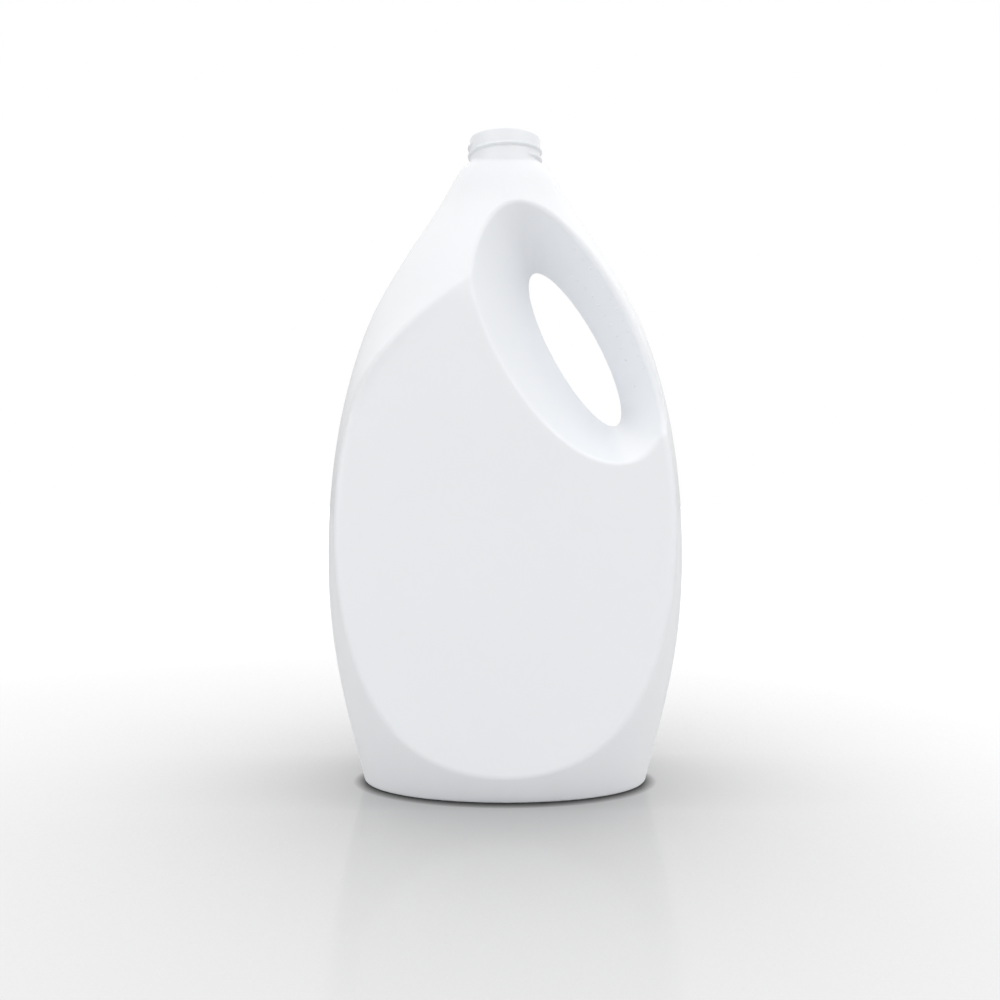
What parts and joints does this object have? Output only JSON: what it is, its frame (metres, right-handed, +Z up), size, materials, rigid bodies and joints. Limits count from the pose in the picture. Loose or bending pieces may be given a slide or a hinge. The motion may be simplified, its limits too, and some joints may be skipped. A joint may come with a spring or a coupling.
{
  "type": "plastic jerrycan",
  "caption": "Blow-moulded plastic jerrycan with flat label panels, a hollow grip handle formed through its shoulder and an open threaded neck.",
  "frame": {"origin": "centre of the bounding box on the floor, which is also the neck axis", "axes": "+Z up along the neck, +X towards the handle, label panels facing -Y and +Y"},
  "size_m": [0.1726, 0.1, 0.3195],
  "materials": {
    "white_plastic": "satin white blow-moulded polyethylene"
  },
  "bodies": {
    "root": {"bottle": "white_plastic"}
  },
  "joints": []
}
